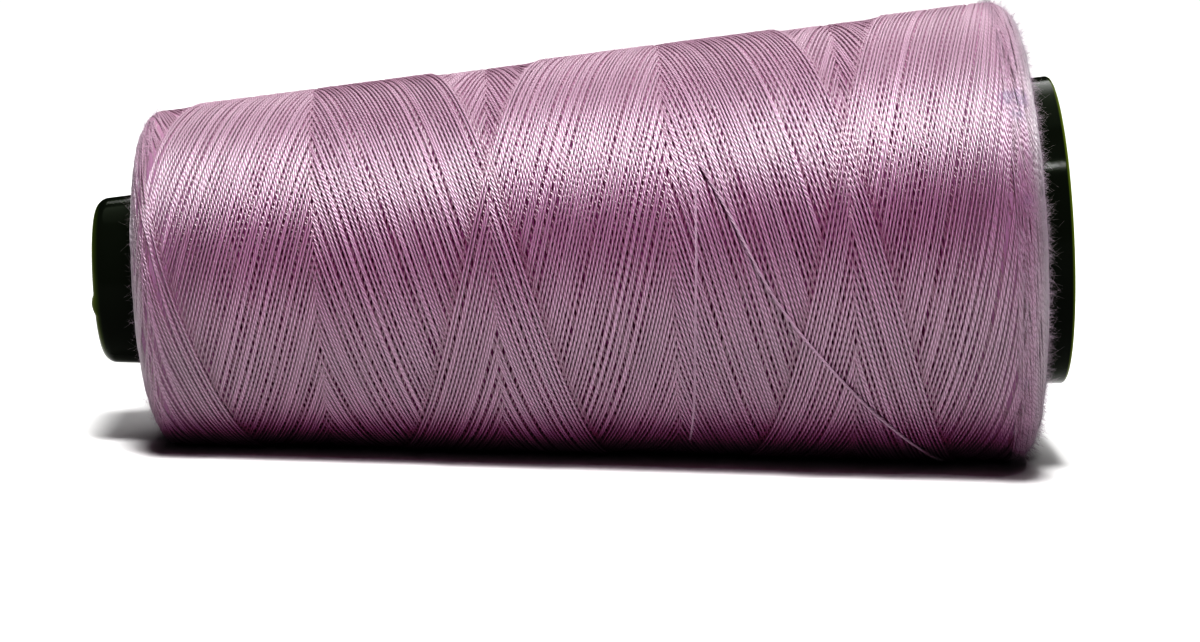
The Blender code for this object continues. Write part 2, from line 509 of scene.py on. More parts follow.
def slowing_rows(name, ahead, behind, reach):
    """How far a thread has run past the point where it slows down, and how far along that takes it."""
    return (
        (f"{name} a", "SUBTRACT", ahead, behind),
        (f"{name} b", "MAXIMUM", f"{name} a", 0.0),
        (name, "MINIMUM", f"{name} b", 2 * reach),
        (f"{name} square", "MULTIPLY", name, name),
        (f"{name} gain", "MULTIPLY_ADD", f"{name} square", -1 / (4 * reach), name),
    )


def stroke_along(tree, known):
    """Where a stroke's points are along the cone: steady, then slowing to a stop over both ends."""
    arithmetic(tree, known, (
        # the ends of this stroke, and how far its thread runs on while the traverse turns back
        ("end", "SUBTRACT", WINDING_END - END_INSET, "early end"),
        ("start", "ADD", WINDING_START + END_INSET, "late start"),
        ("last", "SUBTRACT", "end", BASE_SLOWING),
        ("first", "ADD", "start", SMALL_SLOWING),
        ("low", "SUBTRACT", "first", 2 * SMALL_SLOWING + TAIL),
        ("high", "ADD", "last", 2 * BASE_SLOWING + TAIL),
        ("length", "SUBTRACT", "high", "low"),
        ("run", "MULTIPLY_ADD", "share", "length", "low"),
        *slowing_rows("past", "run", "last", BASE_SLOWING),
        *slowing_rows("before", "first", "run", SMALL_SLOWING),
        ("steady a", "MAXIMUM", "run", "first"),
        ("steady", "MINIMUM", "steady a", "last"),
        ("along a", "ADD", "steady", "past gain"),
        ("along", "SUBTRACT", "along a", "before gain"),
        # a thread's last stretch, past its turning point, tucks in
        ("over a", "SUBTRACT", "past b", 2 * BASE_SLOWING),
        ("over b", "SUBTRACT", "before b", 2 * SMALL_SLOWING),
        ("over c", "MAXIMUM", "over a", "over b"),
        ("over", "MAXIMUM", "over c", 0.0),
        ("tuck", "MULTIPLY", "over", TAIL_TUCK),
    ))


TURNS_PER_STROKE = (WINDING_END - WINDING_START + SMALL_SLOWING + BASE_SLOWING + 2 * TAIL) / LEAD
print(f"with both turning points a stroke has {TURNS_PER_STROKE:.2f} turns")

# %% Round the cone
UNEVENNESS = 0.36
RIBBON_STROKES = 5.2
BUNCHING = 1.0
WANDER = 1.1
# how fast a thread wanders, per metre along the cone and from one thread to the next
WANDER_PACE = (28.0, 5.37, 0.0)
# a thread dives under the other hand within 1/40 of a cover
DIVE = 40.0


def stroke_chances(tree, known):
    """What makes the strokes uneven: ribbons of strokes that lie closer, and a slow wander."""
    arithmetic(tree, known, (("ribbon place", "MULTIPLY", "number", 1 / RIBBON_STROKES),))
    known["ribbon"] = add(tree, "ShaderNodeTexNoise", {"W": known["ribbon place"], "Scale": 1.0,
                                                       "Detail": 0.0}, noise_dimensions="1D").outputs[0]
    place = add(tree, "ShaderNodeCombineXYZ", {0: known["run"], 1: known["number"]})
    paced = add(tree, "ShaderNodeVectorMath", {0: place.outputs[0], 1: WANDER_PACE}, operation="MULTIPLY")
    known["drift"] = add(tree, "ShaderNodeTexNoise", {"Vector": paced.outputs[0], "Scale": 1.0,
                                                      "Detail": 1.0}, noise_dimensions="2D").outputs[0]


def stroke_turn(tree, known):
    """Where a stroke's points are round the cone, in turns, and where they pass under the other hand."""
    arithmetic(tree, known, (
        # the stroke's age, from its number in the cover, a little out of step
        ("pulled", "MULTIPLY_ADD", "ribbon", "Bunching", "number"),
        ("moved number", "MULTIPLY_ADD", "jitter", "Unevenness", "pulled"),
        ("count", "ADD", "Strokes", 0.0),
        ("half", "ADD", "moved number", 0.5 - BUNCHING / 2),
        ("own age", "DIVIDE", "half", "count"),
        ("drift centred", "SUBTRACT", "drift", 0.5),
        ("drift turns", "DIVIDE", "Wander", "count"),
        ("wander", "MULTIPLY", "drift centred", "drift turns"),
        ("run turns", "DIVIDE", "run", "Lead"),
        ("along turns", "DIVIDE", "along", "Lead"),
        ("run signed", "MULTIPLY", "run turns", "Hand"),
        ("along signed", "MULTIPLY", "along turns", "Hand"),
        ("turn a", "SUBTRACT", "Newest", "own age"),
        ("turn b", "SUBTRACT", "turn a", "run signed"),
        ("turn", "ADD", "turn b", "wander"),
        # the other hand's age here
        ("other a", "SUBTRACT", "Other newest", "turn"),
        ("other b", "ADD", "other a", "along signed"),
        ("other age", "FRACT", "other b"),
        # 1 where this thread is the younger and lies on top, 0 where it passes under
        ("lead over", "SUBTRACT", "other age", "own age"),
        ("over age a", "MULTIPLY_ADD", "lead over", DIVE, 0.5),
        ("over age b", "MAXIMUM", "over age a", 0.0),
        ("over age", "MINIMUM", "over age b", 1.0),
        ("to edge a", "SUBTRACT", 1.0, "other age"),
        ("to edge b", "MULTIPLY", "to edge a", DIVE),
        ("to edge", "MINIMUM", "to edge b", 1.0),
        ("on top", "MINIMUM", "over age", "to edge"),
        ("sunk", "SUBTRACT", 1.0, "on top"),
    ))


print(f"strokes of one hand lie {LEAD / STROKES / MM:.2f} mm apart along the cone")

# %% Out from the axis
PROUD = 0.10 * MM
SINK = 0.17 * MM
LIFT_SPREAD = 0.04 * MM


def band_rows(hand):
    """The height of one hand's band here, as band() has it."""
    return (
        (f"{hand} slope", "MULTIPLY_ADD", f"{hand} age", -1 / (1 - BAND_STEP), 1.0),
        (f"{hand} step", "MULTIPLY_ADD", f"{hand} age", 1 / BAND_STEP, 1 - 1 / BAND_STEP),
        (f"{hand} band", "MAXIMUM", f"{hand} slope", f"{hand} step"),
    )


def rounding_rows(end, slope, start, depth):
    """How far an end's rounding, a quarter of an ellipse, has dropped the wall here."""
    return (
        (f"{end} a", "MULTIPLY_ADD", "along", slope, start),
        (f"{end} b", "MAXIMUM", f"{end} a", 0.0),
        (f"{end} square", "MULTIPLY", f"{end} b", f"{end} b"),
        (f"{end} left", "SUBTRACT", 1.0, f"{end} square"),
        (f"{end} root", "SQRT", f"{end} left"),
        (f"{end} drop", "MULTIPLY_ADD", f"{end} root", -depth, depth),
    )


def stroke_radius(tree, known):
    """How far out a stroke's points are: the wall, the bands' relief and both roundings."""
    arithmetic(tree, known, (
        *band_rows("own"),
        *band_rows("other"),
        ("bands", "ADD", "own band", "other band"),
        ("relief", "MULTIPLY_ADD", "bands", BAND_HEIGHT, PROUD - BAND_HEIGHT),
        ("lifted", "MULTIPLY_ADD", "lift", LIFT_SPREAD, "relief"),
        *rounding_rows("base", 1 / BASE_SHOULDER, 1 - WINDING_END / BASE_SHOULDER, BASE_SHOULDER),
        *rounding_rows("dome", -1 / SMALL_DOME, 1 + WINDING_START / SMALL_DOME, LAYER),
        ("wall", "MULTIPLY_ADD", "along", SLOPE, winding_radius(0)),
        ("radius a", "ADD", "wall", "lifted"),
        ("radius b", "SUBTRACT", "radius a", "base drop"),
        ("radius c", "SUBTRACT", "radius b", "dome drop"),
        ("radius d", "MULTIPLY_ADD", "sunk", -SINK, "radius c"),
        ("radius", "SUBTRACT", "radius d", "tuck"),
    ))


def laid_flat(tree, known):
    """From turn and radius to back and up, pressed flat where the cone lies on the thread."""
    arithmetic(tree, known, (
        ("angle", "MULTIPLY", "turn", math.tau),
        ("cosine", "COSINE", "angle"),
        ("sine", "SINE", "angle"),
        ("front", "MULTIPLY", "radius", "cosine"),
        ("back", "MULTIPLY", "front", -1.0),
        ("height", "MULTIPLY", "radius", "sine"),
        ("half thread", "MULTIPLY", "Thread", 0.5),
        ("floor a", "MULTIPLY_ADD", "along", -SLOPE, floor_height(0)),
        ("floor b", "ADD", "floor a", "half thread"),
        ("floor", "MULTIPLY_ADD", "sunk", SINK, "floor b"),
        ("up", "MAXIMUM", "height", "floor"),
    ))


print(f"a thread sinks by {SINK / THREAD:.0%} of its thickness where it passes under")

# %% Tree for one hand of the winding
THREAD_SIDES = 5


def winding_tree():
    tree, known = new_tree(
        "one_hand_of_the_winding",
        ("Hand", "Newest", "Other newest", "Lead", "Thread", "Unevenness", "Bunching", "Wander"),
        ("Strokes", "Points"),
    )
    lines = copied_lines(tree, known, "Strokes", "Points")
    chances(tree, known, (
        ("jitter", -0.5, 0.5, 11), ("early end", 0.0, TURN_SPREAD, 12),
        ("late start", 0.0, TURN_SPREAD, 13), ("lift", -0.5, 0.5, 14),
    ))
    for step in (stroke_along, stroke_chances, stroke_turn, stroke_radius, laid_flat):
        step(tree, known)
    noted = add(tree, "GeometryNodeStoreNamedAttribute", {"Geometry": lines, "Name": "sunk",
                                                          "Value": known["sunk"]}, data_type="FLOAT",
                domain="POINT")
    swept(tree, known, noted.outputs[0], THREAD_SIDES, known["half thread"])
    return tree


WINDING_TREE = winding_tree()
print("nodes in the winding's tree:", len(WINDING_TREE.nodes))

# %% [markdown]
# The tree is run once for each hand. Its result becomes a plain mesh, and each thread then gets its
# own row in a UV map, so that the ply twist follows it and a baked texture has room for it. The crown
# attribute tells the material how far each side of a thread faces out, and less where it is sunk;
# the material paints shade where it is low.

# %% Running a tree, and the threads' UV map
def run_tree(tree, values):
    """The tree's mesh for these named inputs, as plain mesh data."""
    holder = bpy.data.objects.new("holder", bpy.data.meshes.new("holder"))
    bpy.context.scene.collection.objects.link(holder)
    modifier = holder.modifiers.new("nodes", "NODES")
    modifier.node_group = tree
    sockets = {item.name: item.identifier for item in tree.interface.items_tree
               if item.item_type == "SOCKET" and item.in_out == "INPUT"}
    for name, value in values.items():
        modifier[sockets[name]] = value
    depsgraph = bpy.context.evaluated_depsgraph_get()
    data = bpy.data.meshes.new_from_object(holder.evaluated_get(depsgraph), depsgraph=depsgraph)
    bpy.data.objects.remove(holder)
    return data


def map_threads(data, rows, points, sides):
    """UV rows for swept threads: U along each, V round it, with a margin between the rows."""
    corners = np.empty(len(data.loops), int)
    data.loops.foreach_get("vertex_index", corners)
    thread, rest = np.divmod(corners, points * sides)
    ring, side = np.divmod(rest, sides)
    starts = np.empty(len(data.polygons), int)
    sizes = np.empty(len(data.polygons), int)
    data.polygons.foreach_get("loop_start", starts)
    data.polygons.foreach_get("loop_total", sizes)
    polygon = np.repeat(np.arange(len(starts)), sizes)
    round_it = side / sides
    highest = np.maximum.reduceat(round_it, starts)[polygon]
    wraps = (sizes[polygon] == 4) & (round_it == 0) & (highest > 0.5)
    round_it = np.where(wraps, 1.0, round_it)
    across = ROW_MARGIN + (1 - 2 * ROW_MARGIN) * round_it
    uv = np.stack([ring / (points - 1), (thread % rows + across) / rows], 1)
    layer = data.uv_layers.new(name="OFBake")
    layer.data.foreach_set("uv", uv.astype(np.float32).ravel())


# %% The threads' crown
def outward(along, radius):
    """The winding's facing at these places, as its parts along the cone and out from it."""
    base = WINDING_END - BASE_SHOULDER
    small = WINDING_START + SMALL_DOME
    part_along = np.maximum(along - base, 0) / BASE_SHOULDER + np.minimum(along - small, 0) / SMALL_DOME
    middle = np.where(along > base, winding_radius(along) - BASE_SHOULDER, tube_radius(along))
    part_out = np.maximum(radius - middle, 0) / np.where(along > base, BASE_SHOULDER, LAYER)
    length = np.hypot(part_along, part_out) + 1e-9
    return part_along / length, part_out / length


def taken(data, name):
    """A point attribute's numbers, and the attribute gone."""
    layer = data.attributes[name]
    numbers = np.empty(len(data.vertices), np.float32)
    layer.data.foreach_get("value", numbers)
    data.attributes.remove(layer)
    return numbers


# a thread that passes under others lies in their shade, so its crown counts this much lower
SUNK_SHADE = 0.3


def mark_crown(data, sides, sunk=0.0):
    """An attribute for swept threads: 1 on the side that faces out, -1 on the inner one, less if sunk."""
    places = np.empty(len(data.vertices) * 3, np.float32)
    data.vertices.foreach_get("co", places)
    rings = places.reshape(-1, sides, 3).astype(float)
    middles = rings.mean(1)
    radius = np.hypot(middles[:, 1], middles[:, 2])
    part_along, part_out = outward(middles[:, 0], radius)
    facing = np.stack([part_along, part_out * middles[:, 1] / radius, part_out * middles[:, 2] / radius], 1)
    offsets = rings - middles[:, None]
    offsets /= np.linalg.norm(offsets, axis=2, keepdims=True)
    crown = np.einsum("rsk,rk->rs", offsets, facing)
    layer = data.attributes.new("crown", "FLOAT", "POINT")
    layer.data.foreach_set("value", (crown.ravel() - SUNK_SHADE * sunk).astype(np.float32))


# %% Both hands, wound
STEPS_PER_TURN = 64
POINTS_PER_STROKE = round(TURNS_PER_STROKE * STEPS_PER_TURN)
STROKE_LENGTH = TURNS_PER_STROKE * math.tau * winding_radius(TUBE_LENGTH / 2)
HANDS = (
    # name, hand, its newest thread, the other hand's
    ("falling_turns", 1.0, NEWEST_FALLING, NEWEST_RISING),
    ("rising_turns", -1.0, NEWEST_RISING, NEWEST_FALLING),
)

wound_thread = twisted_thread("viscose_thread_wound", STROKES, STROKE_LENGTH)

for name, hand, newest, other_newest in HANDS:
    data = run_tree(WINDING_TREE, {
        "Hand": hand, "Newest": newest, "Other newest": other_newest, "Lead": LEAD, "Thread": THREAD,
        "Unevenness": UNEVENNESS, "Bunching": BUNCHING, "Wander": WANDER, "Strokes": STROKES,
        "Points": POINTS_PER_STROKE, "Material": wound_thread,
    })
    map_threads(data, STROKES, POINTS_PER_STROKE, THREAD_SIDES)
    mark_crown(data, THREAD_SIDES, taken(data, "sunk"))
    piece = link_piece(name, data, wound_thread)

# %% [markdown]
# ## The layers below
# Under the visible turns are hundreds of metres more, seen only as dark threads through the gaps.
# One more cover of drawn turns would double the faces and hardly show, so one closed form stands
# for all of them: an outline turned round the axis, with the winding's bands raised on it, and
# pressed flat below.

# %% Turning an outline
def arc(centre, axial, radial, first, last, steps):
    """Points of an elliptic arc about (along, radius); 0 degrees is outward, 90 towards the base."""
    angles = np.radians(np.linspace(first, last, steps + 1))
    return list(zip(centre[0] + axial * np.sin(angles), centre[1] + radial * np.cos(angles)))


def turned(outline, sides):
    """A closed outline of (along, radius) points, spun once round the cone's axis."""
    mesh = bmesh.new()
    ring = [mesh.verts.new((along, 0, radius)) for along, radius in outline]
    edges = [mesh.edges.new((ring[i - 1], ring[i])) for i in range(len(ring))]
    bmesh.ops.spin(mesh, geom=ring + edges, cent=(0, 0, 0), axis=(1, 0, 0), angle=math.tau,
                   steps=sides, use_merge=True)
    bmesh.ops.remove_doubles(mesh, verts=mesh.verts, dist=1e-6)
    bmesh.ops.recalc_face_normals(mesh, faces=mesh.faces)
    data = bpy.data.meshes.new("turned")
    mesh.to_mesh(data)
    mesh.free()
    data.shade_smooth()
    return data


# %% Packed layers
PACKED_SIDES = 180
PACKED_STEP = 1.3 * MM
BORE_GAP = 0.05 * MM
# near both ends these layers stand a little higher, so the gaps there are less deep
END_ZONE = 9 * MM
END_RISE = 0.12 * MM


def packed_outline():
    wall_start = WINDING_START + SMALL_DOME
    wall_end = WINDING_END - BASE_SHOULDER
    bore_start = tube_radius(WINDING_START) + BORE_GAP
    dome = arc((wall_start, bore_start), SMALL_DOME, winding_radius(wall_start) - bore_start, -90, 0, 16)
    rings = round((wall_end - wall_start) / PACKED_STEP)
    wall = [(along, winding_radius(along)) for along in np.linspace(wall_start, wall_end, rings + 1)[1:-1]]
    shoulder = arc((wall_end, winding_radius(wall_end) - BASE_SHOULDER), BASE_SHOULDER - BASE_FACE_LEAN,
                   BASE_SHOULDER, 0, 90, 10)
    return dome + wall + shoulder + [(WINDING_END + BASE_BULGE / 2, tube_radius(WINDING_END) + BORE_GAP)]


def packed_layers():
    data = turned(packed_outline(), PACKED_SIDES)
    points = np.empty(len(data.vertices) * 3, np.float32)
    data.vertices.foreach_get("co", points)
    along, back, up = points.reshape(-1, 3).T.astype(float)
    radius = np.hypot(back, up)
    turn = np.arctan2(up, -back) / math.tau
    from_small, from_base = along - WINDING_START, WINDING_END - along
    share = np.clip(np.minimum(from_small / SMALL_DOME, from_base / BASE_SHOULDER), 0, 1)
    near_end = np.clip(1 - np.minimum(from_small, from_base) / END_ZONE, 0, 1)
    outer = radius > tube_radius(along) + LAYER / 2
    grown = radius + np.where(outer, band_relief(along, turn) * share + near_end * END_RISE, 0)
    back, up = back * grown / radius, up * grown / radius
    up = np.maximum(up, floor_height(along))
    data.vertices.foreach_set("co", np.stack([along, back, up], 1).astype(np.float32).ravel())
    return data


# %% Buried thread
# painted shade: the buried threads are coloured much darker than the viscose, for the shade they lie in,
# and lighter again near both ends
BURIED_SHADED_DARK = "40102E"
BURIED_SHADED_LIGHT = "78466A"
BURIED_END = "A07E98"
BURIED_END_REACH = 13 * MM
GRAINS_PER_MM = 1.5
MATT_ROUGHNESS = 0.8
MATT_SPECULAR = 0.2


def buried_thread():
    """The threads of deeper covers: the same viscose with its shade painted in, as rings one thread apart.
    """
    material, tree, shader = new_material("viscose_thread_buried_painted_shade")
    coordinates = add(tree, "ShaderNodeTexCoord").outputs["Object"]
    grain = add(tree, "ShaderNodeTexNoise", {"Vector": coordinates, "Scale": GRAINS_PER_MM / MM,
                                             "Detail": 2.0})
    along = add(tree, "ShaderNodeVectorMath", {0: coordinates, 1: AXIS}, operation="DOT_PRODUCT")
    known = arithmetic(tree, {"along": along.outputs["Value"], "grain": grain.outputs[0]}, (
        ("rings", "MULTIPLY_ADD", "along", math.tau / THREAD, "grain"),
        ("wave", "SINE", "rings"),
        ("ring", "MULTIPLY_ADD", "wave", 0.5, "grain"),
    ))
    colour = layered(tree, linear(BURIED_SHADED_DARK), (
        (known["ring"], BURIED_SHADED_LIGHT),
        (near_ends_mask(tree, BURIED_END_REACH), BURIED_END),
        # painted sheen on the upper side
        (top_sheen_mask(tree), TOP_SHEEN_COLOUR),
    ))
    fill(tree, shader, {"Base Color": colour, "Roughness": MATT_ROUGHNESS,
                        "Specular IOR Level": MATT_SPECULAR})
    return material


packed = link_piece("packed_layers", packed_layers(), buried_thread())
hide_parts("thread_body")

# %% [markdown]
# ## The end faces
# At each end the traverse turned back in every layer, so an end face is made of short arcs of
# thread, each nearly a piece of a circle round the tube, ring inside ring. Both ends of an arc dip
# back into the winding. The small end is a dome. The base face is flatter and stands out most beside
# the tube. A bump on a flat disc would look right from afar only, so these are threads too.

# %% Both end faces
FIRST_RING_GAP = 0.1 * MM
SMALL_INSET = 0.2 * MM
BASE_INSET = 0.1 * MM
FACE_INPUTS = ("Direction", "Middle along", "Middle radius", "Reach along", "Reach out", "First ring",
               "Lean")
FACES = (
    # name, rings, and for FACE_INPUTS: which way it faces, the rounding's middle along and out from
    # the axis, its reach along and out, where the face starts, how far its inside stands out
    ("small_end_turns", 32, (
        -1.0, WINDING_START + SMALL_DOME, tube_radius(WINDING_START) + SMALL_INSET,
        SMALL_DOME, LAYER - SMALL_INSET, tube_radius(WINDING_START) + FIRST_RING_GAP, 0.0)),
    ("base_end_turns", 30, (
        1.0, WINDING_END - BASE_SHOULDER, winding_radius(WINDING_END) - BASE_SHOULDER,
        BASE_SHOULDER - BASE_FACE_LEAN, BASE_SHOULDER - BASE_INSET,
        tube_radius(WINDING_END) + FIRST_RING_GAP, BASE_BULGE + BASE_FACE_LEAN)),
)


def face_values(numbers):
    """A face's named inputs, with its length from the tube over the rounding to the wall."""
    values = dict(zip(FACE_INPUTS, numbers))
    flat = values["Middle radius"] - values["First ring"]
    values["Length"] = flat + (values["Reach along"] + values["Reach out"]) * math.pi / 4
    return values


def face_profile(tree, known):
    """Turns the distance walked over a face, from the tube outwards, into a place and a facing."""
    arithmetic(tree, known, (
        ("flat", "SUBTRACT", "Middle radius", "First ring"),
        ("flat walked", "MINIMUM", "walked", "flat"),
        ("round walked", "SUBTRACT", "walked", "flat walked"),
        ("both reaches", "ADD", "Reach along", "Reach out"),
        ("rounding", "MULTIPLY", "both reaches", math.pi / 4),
        ("part rounded", "DIVIDE", "round walked", "rounding"),
        ("facing a", "MINIMUM", "part rounded", 1.0),
        ("facing", "MULTIPLY", "facing a", math.pi / 2),
        ("facing along", "COSINE", "facing"),
        ("facing out", "SINE", "facing"),
        ("ring out", "MULTIPLY_ADD", "facing out", "Reach out", "flat walked"),
        ("ring radius", "ADD", "ring out", "First ring"),
        # the face leans: it stands out furthest at the tube
        ("whole height", "ADD", "flat", "Reach out"),
        ("height share", "DIVIDE", "ring out", "whole height"),
        ("inside", "SUBTRACT", 1.0, "height share"),
        ("lean", "MULTIPLY", "inside", "Lean"),
        ("bulge", "MULTIPLY_ADD", "facing along", "Reach along", "lean"),
    ))


for name, rings, numbers in FACES:
    print(f"{name}: {rings} rings over {face_values(numbers)['Length'] / MM:.1f} mm")

# %% Tree for an end face
ARCS_PER_RING = 13
ARC_POINTS = 25
ARC_TURNS = 0.17
ARC_DIP = 0.9 * MM
ARC_SLANT = 1.4 * MM
ARC_STAND = 0.2 * MM
RING_SHIFT = 0.7
# where a ring's arcs start, against the ring before; no round share, so that no starts line up
RING_STAGGER = 0.381


def face_tree():
    tree, known = new_tree("end_face_of_the_winding", (*FACE_INPUTS, "Length", "Arc", "Dip", "Thread"),
                           ("Rings", "Arcs", "Copies", "Points"))
    lines = copied_lines(tree, known, "Copies", "Points")
    chances(tree, known, (
        ("ring shift", -0.5, 0.5, 21), ("arc shift", -0.5, 0.5, 22), ("slant", -0.5, 0.5, 23),
        ("stand", -0.5, 0.5, 24), ("reach", 0.7, 1.3, 25),
    ))
    arithmetic(tree, known, (
        ("ring a", "DIVIDE", "number", "Arcs"),
        ("ring b", "FLOOR", "ring a"),
        ("ring c", "ADD", "ring b", 0.5),
        ("ring d", "MULTIPLY_ADD", "ring shift", RING_SHIFT, "ring c"),
        ("ring share", "DIVIDE", "ring d", "Rings"),
        ("centred", "SUBTRACT", "share", 0.5),
        ("drift", "MULTIPLY", "slant", "centred"),
        ("drifted", "MULTIPLY", "drift", ARC_SLANT),
        ("walked a", "MULTIPLY_ADD", "ring share", "Length", "drifted"),
        ("walked", "MAXIMUM", "walked a", 0.0),
    ))
    face_profile(tree, known)
    arithmetic(tree, known, (
        ("start a", "MULTIPLY_ADD", "ring b", RING_STAGGER, "number"),
        ("start b", "ADD", "start a", "arc shift"),
        ("start", "DIVIDE", "start b", "Arcs"),
        ("arc", "MULTIPLY", "Arc", "reach"),
        ("turn", "MULTIPLY_ADD", "centred", "arc", "start"),
        # both ends of an arc dip into the winding
        ("dip a", "MULTIPLY", "centred", "centred"),
        ("dip b", "MULTIPLY", "dip a", -4.0),
        ("dip", "MULTIPLY", "dip b", "Dip"),
        ("out", "MULTIPLY_ADD", "stand", ARC_STAND, "dip"),
        ("along a", "MULTIPLY_ADD", "out", "facing along", "bulge"),
        ("along", "MULTIPLY_ADD", "along a", "Direction", "Middle along"),
        ("radius", "MULTIPLY_ADD", "out", "facing out", "ring radius"),
    ))
    known["sunk"] = 0.0
    laid_flat(tree, known)
    swept(tree, known, lines, THREAD_SIDES, known["half thread"])
    return tree


FACE_TREE = face_tree()
MIDDLING_RADIUS = 15 * MM
ARC_LENGTH = ARC_TURNS * math.tau * MIDDLING_RADIUS

for name, rings, numbers in FACES:
    copies = rings * ARCS_PER_RING
    material = twisted_thread(f"viscose_thread_{name}", copies, ARC_LENGTH)
    data = run_tree(FACE_TREE, {
        **face_values(numbers), "Arc": ARC_TURNS, "Dip": ARC_DIP, "Thread": THREAD, "Rings": rings,
        "Arcs": ARCS_PER_RING, "Copies": copies, "Points": ARC_POINTS, "Material": material,
    })
    map_threads(data, copies, ARC_POINTS, THREAD_SIDES)
    mark_crown(data, THREAD_SIDES)
    piece = link_piece(name, data, material)

# %% [markdown]
# ## Lint
# Handling has rubbed both ends, so broken filaments stand out there as a pale fuzz against the dark
# tube. A hair system would give the same look, but it isn't a mesh. Here each hair is a short bent
# line that starts anywhere on an end face. Most are very short and a few are long, which is what
# keeps fuzz from looking like a brush. The base also has a down of shorter, straight hairs.

# %% Tree for lint
# a viscose filament is 0.012 to 0.017 mm across, and so is a hair
HAIR = 0.012 * MM
HAIR_SIDES = 3
LENGTH_POWER = 2.2
HAIR_ROWS = 24
LINT = (
    # name, the numbers of its end face, hairs, the longest, points of a hair
    ("small_end_lint", FACES[0][2], 6000, 0.9 * MM, 3),
    ("base_end_lint", FACES[1][2], 14000, 1.1 * MM, 3),
    ("base_end_down", FACES[1][2], 24000, 0.62 * MM, 2),
)


def lint_tree():
    tree, known = new_tree("lint_on_an_end", (*FACE_INPUTS, "Length", "Longest", "Hair"),
                           ("Hairs", "Points"))
    lines = copied_lines(tree, known, "Hairs", "Points")
    chances(tree, known, (
        ("place", 0.0, 1.0, 31), ("turn", 0.0, math.tau, 32), ("size", 0.3, 1.0, 33),
        ("lean along", -0.2, 0.6, 34), ("lean out", -0.7, 0.7, 35), ("lean round", -1.0, 1.0, 36),
        ("bend along", -0.9, 0.6, 37), ("bend out", -0.9, 0.9, 38), ("bend round", -1.4, 1.4, 39),
    ))
    arithmetic(tree, known, (
        # where the hair grows: more of them outwards, where the face is rubbed
        ("outer place", "SQRT", "place"),
        ("walked", "MULTIPLY", "outer place", "Length"),
    ))
    face_profile(tree, known)
    arithmetic(tree, known, (
        # how far along the hair this point is
        ("length", "POWER", "size", LENGTH_POWER),
        ("full length", "MULTIPLY", "length", "Longest"),
        ("grown", "MULTIPLY", "share", "full length"),
        ("bent", "MULTIPLY", "grown", "share"),
        # which way it goes: off the face, with a lean and a bend, but not into the tube
        ("go along", "ADD", "facing along", "lean along"),
        ("go out", "ADD", "facing out", "lean out"),
        ("along a", "MULTIPLY_ADD", "grown", "go along", "bulge"),
        ("along b", "MULTIPLY_ADD", "bent", "bend along", "along a"),
        ("along", "MULTIPLY_ADD", "along b", "Direction", "Middle along"),
        ("radius a", "MULTIPLY_ADD", "grown", "go out", "ring radius"),
        ("radius b", "MULTIPLY_ADD", "bent", "bend out", "radius a"),
        ("tube", "MULTIPLY_ADD", "along", SLOPE, NOSE_RADIUS + HAIR),
        ("radius", "MAXIMUM", "radius b", "tube"),
        ("round a", "MULTIPLY", "grown", "lean round"),
        ("round", "MULTIPLY_ADD", "bent", "bend round", "round a"),
        # into the cone's own axes, above what the cone lies on
        ("cosine", "COSINE", "turn"),
        ("sine", "SINE", "turn"),
        ("front a", "MULTIPLY", "round", "sine"),
        ("front b", "MULTIPLY", "radius", "cosine"),
        ("back", "SUBTRACT", "front a", "front b"),
        ("height a", "MULTIPLY", "radius", "sine"),
        ("height", "MULTIPLY_ADD", "round", "cosine", "height a"),
        ("floor", "MULTIPLY_ADD", "along", -SLOPE, floor_height(0) + HAIR),
        ("up", "MAXIMUM", "height", "floor"),
        ("half hair", "MULTIPLY", "Hair", 0.5),
    ))
    swept(tree, known, lines, HAIR_SIDES, known["half hair"])
    return tree


LINT_TREE = lint_tree()
print("nodes in the lint's tree:", len(LINT_TREE.nodes))

# %% Lint
LINT_DARK = "A893A5"
LINT_LIGHT = "D2C6CF"
TUFTS_PER_MM = 0.5


def broken_filaments():
    """Broken viscose filaments: so fine that they look almost white and have no shine of their own."""
    material, tree, shader = new_material("viscose_filaments_broken")
    coordinates = add(tree, "ShaderNodeTexCoord").outputs["Object"]
    tufts = add(tree, "ShaderNodeTexNoise", {"Vector": coordinates, "Scale": TUFTS_PER_MM / MM})
    tone = layered(tree, linear(LINT_DARK), ((tufts.outputs[0], LINT_LIGHT),))
    fill(tree, shader, {"Base Color": tone, "Roughness": MATT_ROUGHNESS,
                        "Specular IOR Level": MATT_SPECULAR})
    return material


lint_finish = broken_filaments()

for name, numbers, hairs, longest, points in LINT:
    data = run_tree(LINT_TREE, {
        **face_values(numbers), "Longest": longest, "Hair": HAIR, "Hairs": hairs, "Points": points,
        "Material": lint_finish,
    })
    map_threads(data, HAIR_ROWS, points, HAIR_SIDES)
    piece = link_piece(name, data, lint_finish)

# %% [markdown]
# ## The tube
# The tube is one moulding in dark green polypropylene, open at both ends: another outline turned
# round the axis, with both rims rounded off. The mould left a small burr on the small rim. The
# plastic is smooth but not polished, so its shine is sharp and weak. Where the wall is thin and lit,
# light gets through it, and its edge is painted a lighter green for that glow.

# %% Shape of the tube
TUBE_SIDES = 160
BASE_EASE = 0.4 * MM
MOUTH_DEPTH = 0.4 * MM
MOUTH_EASE = 0.3 * MM
BURR_TURN = math.radians(-12)
BURR_REACH = 1.3 * MM
BURR_HEIGHT = 0.3 * MM


def raise_burr(data):
    """The small burr on the front of the rim at the small end."""
    for vertex in data.vertices:
        along, back, up = vertex.co
        turn = math.atan2(up, -back) - BURR_TURN
        away = math.hypot(turn * NOSE_RADIUS, max(0.0, along - NOSE_EASE))
        if away < BURR_REACH and math.hypot(back, up) > NOSE_RADIUS - NOSE_EASE:
            vertex.co.x -= BURR_HEIGHT * (1 - away / BURR_REACH) ** 0.5


